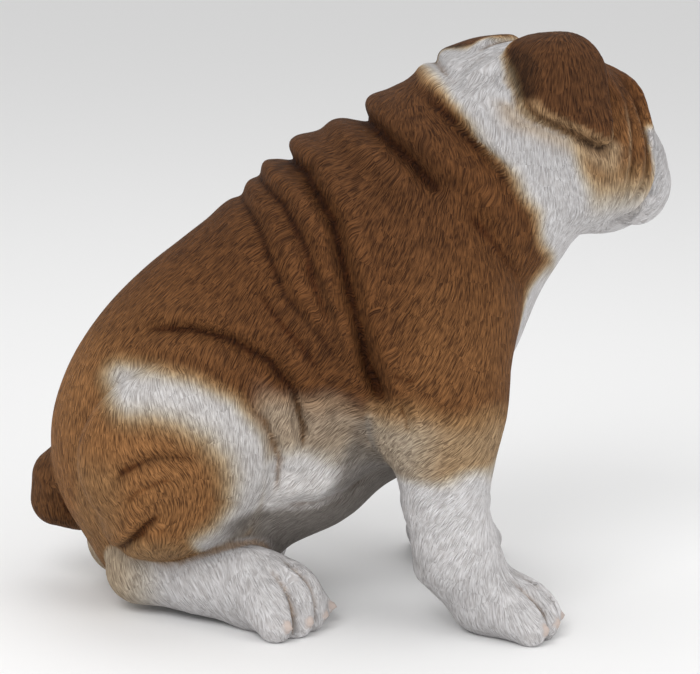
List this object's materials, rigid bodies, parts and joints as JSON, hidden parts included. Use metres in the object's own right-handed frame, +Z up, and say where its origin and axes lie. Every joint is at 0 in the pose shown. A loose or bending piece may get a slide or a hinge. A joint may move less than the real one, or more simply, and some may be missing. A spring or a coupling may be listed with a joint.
{
  "type": "animal garden statue",
  "caption": "Sitting bulldog puppy garden statue, head turned aside, with folded skin, drop ears and carved short fur in brown and white.",
  "frame": {"origin": "on the ground, below the middle of the statue's box", "axes": "+X is ahead of the sitting dog, from its tail to its chest; +Y is its left side; +Z is up"},
  "size_m": [0.4148, 0.2382, 0.3795],
  "materials": {
    "painted_resin": "painted cast resin, matt"
  },
  "bodies": {
    "root": {"bulldog": "painted_resin"}
  },
  "joints": []
}
